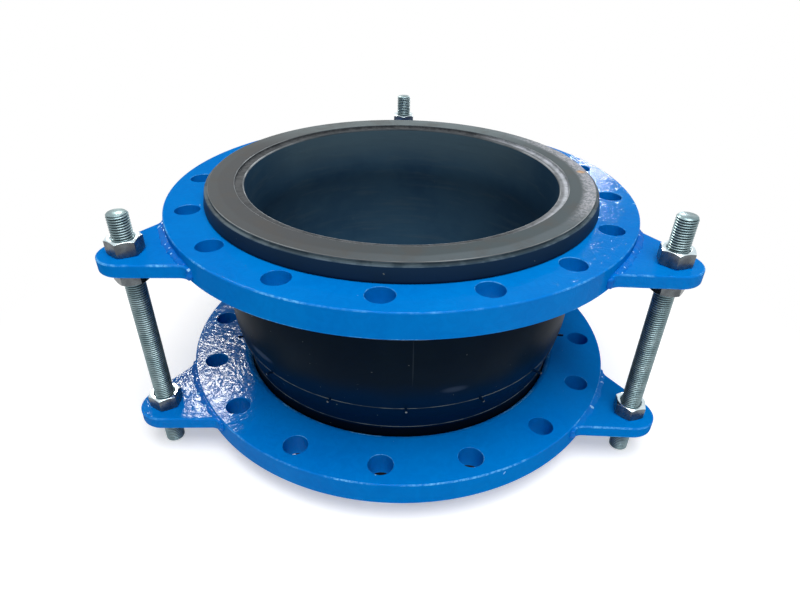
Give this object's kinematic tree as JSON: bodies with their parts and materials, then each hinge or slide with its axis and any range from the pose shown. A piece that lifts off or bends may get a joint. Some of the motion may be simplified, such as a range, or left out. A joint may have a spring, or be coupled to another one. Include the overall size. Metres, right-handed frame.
{
  "type": "rubber expansion joint",
  "caption": "Single-arch moulded rubber expansion joint for a pipeline, with loose steel flanges and control rods that limit its travel.",
  "frame": {"origin": "centre of the lower flange's outer face, on the bore's axis", "axes": "+Z along the bore towards the upper flange, +Y through the rear control rod, +X to the right as the picture sees it"},
  "size_m": [0.5712, 0.5855, 0.2904],
  "materials": {
    "blue_paint": "gloss blue paint on steel, lumpy over the welds",
    "moulded_rubber": "moulded black rubber, matt grey on the sealing face",
    "zinc_rod": "bright zinc-plated threaded steel",
    "zinc_nut": "bright zinc-plated steel with a slight yellow tint"
  },
  "bodies": {
    "lower": {"lower_flange": "blue_paint", "lower_lug_rear": "blue_paint", "lower_lug_left": "blue_paint", "lower_lug_right": "blue_paint", "lower_weld_beads": "blue_paint", "rubber_bellows": "moulded_rubber"},
    "upper": {"upper_flange": "blue_paint", "upper_lug_rear": "blue_paint", "upper_lug_left": "blue_paint", "upper_lug_right": "blue_paint", "upper_weld_beads": "blue_paint", "control_rod_rear": "zinc_rod", "control_rod_left": "zinc_rod", "control_rod_right": "zinc_rod"},
    "upper_outer_nut_rear": {"upper_outer_nut_rear": "zinc_nut"},
    "upper_outer_nut_left": {"upper_outer_nut_left": "zinc_nut"},
    "upper_outer_nut_right": {"upper_outer_nut_right": "zinc_nut"},
    "upper_inner_nut_rear": {"upper_inner_nut_rear": "zinc_nut"},
    "upper_inner_nut_left": {"upper_inner_nut_left": "zinc_nut"},
    "upper_inner_nut_right": {"upper_inner_nut_right": "zinc_nut"},
    "lower_inner_nut_rear": {"lower_inner_nut_rear": "zinc_nut"},
    "lower_inner_nut_left": {"lower_inner_nut_left": "zinc_nut"},
    "lower_inner_nut_right": {"lower_inner_nut_right": "zinc_nut"}
  },
  "joints": [
    {"name": "axial_travel", "type": "slide", "parent": "lower", "child": "upper", "axis": [0, 0, 1], "range_m": [0, 0.016], "stiffness_N_per_m": 300000, "deforming": ["rubber_bellows"]},
    {"name": "upper_outer_nut_turn_rear", "type": "hinge", "parent": "upper", "child": "upper_outer_nut_rear", "pos_m": [0, 0.298, 0.215], "axis": [0, 0, 1], "continuous": true},
    {"name": "upper_outer_nut_turn_left", "type": "hinge", "parent": "upper", "child": "upper_outer_nut_left", "pos_m": [-0.25808, -0.149, 0.215], "axis": [0, 0, 1], "continuous": true},
    {"name": "upper_outer_nut_turn_right", "type": "hinge", "parent": "upper", "child": "upper_outer_nut_right", "pos_m": [0.25808, -0.149, 0.215], "axis": [0, 0, 1], "continuous": true},
    {"name": "upper_inner_nut_turn_rear", "type": "hinge", "parent": "upper", "child": "upper_inner_nut_rear", "pos_m": [0, 0.298, 0.185], "axis": [0, 0, -1], "continuous": true},
    {"name": "upper_inner_nut_turn_left", "type": "hinge", "parent": "upper", "child": "upper_inner_nut_left", "pos_m": [-0.25808, -0.149, 0.185], "axis": [0, 0, -1], "continuous": true},
    {"name": "upper_inner_nut_turn_right", "type": "hinge", "parent": "upper", "child": "upper_inner_nut_right", "pos_m": [0.25808, -0.149, 0.185], "axis": [0, 0, -1], "continuous": true},
    {"name": "lower_inner_nut_turn_rear", "type": "hinge", "parent": "upper", "child": "lower_inner_nut_rear", "pos_m": [0, 0.298, 0.025], "axis": [0, 0, 1], "continuous": true},
    {"name": "lower_inner_nut_turn_left", "type": "hinge", "parent": "upper", "child": "lower_inner_nut_left", "pos_m": [-0.25808, -0.149, 0.025], "axis": [0, 0, 1], "continuous": true},
    {"name": "lower_inner_nut_turn_right", "type": "hinge", "parent": "upper", "child": "lower_inner_nut_right", "pos_m": [0.25808, -0.149, 0.025], "axis": [0, 0, 1], "continuous": true}
  ]
}
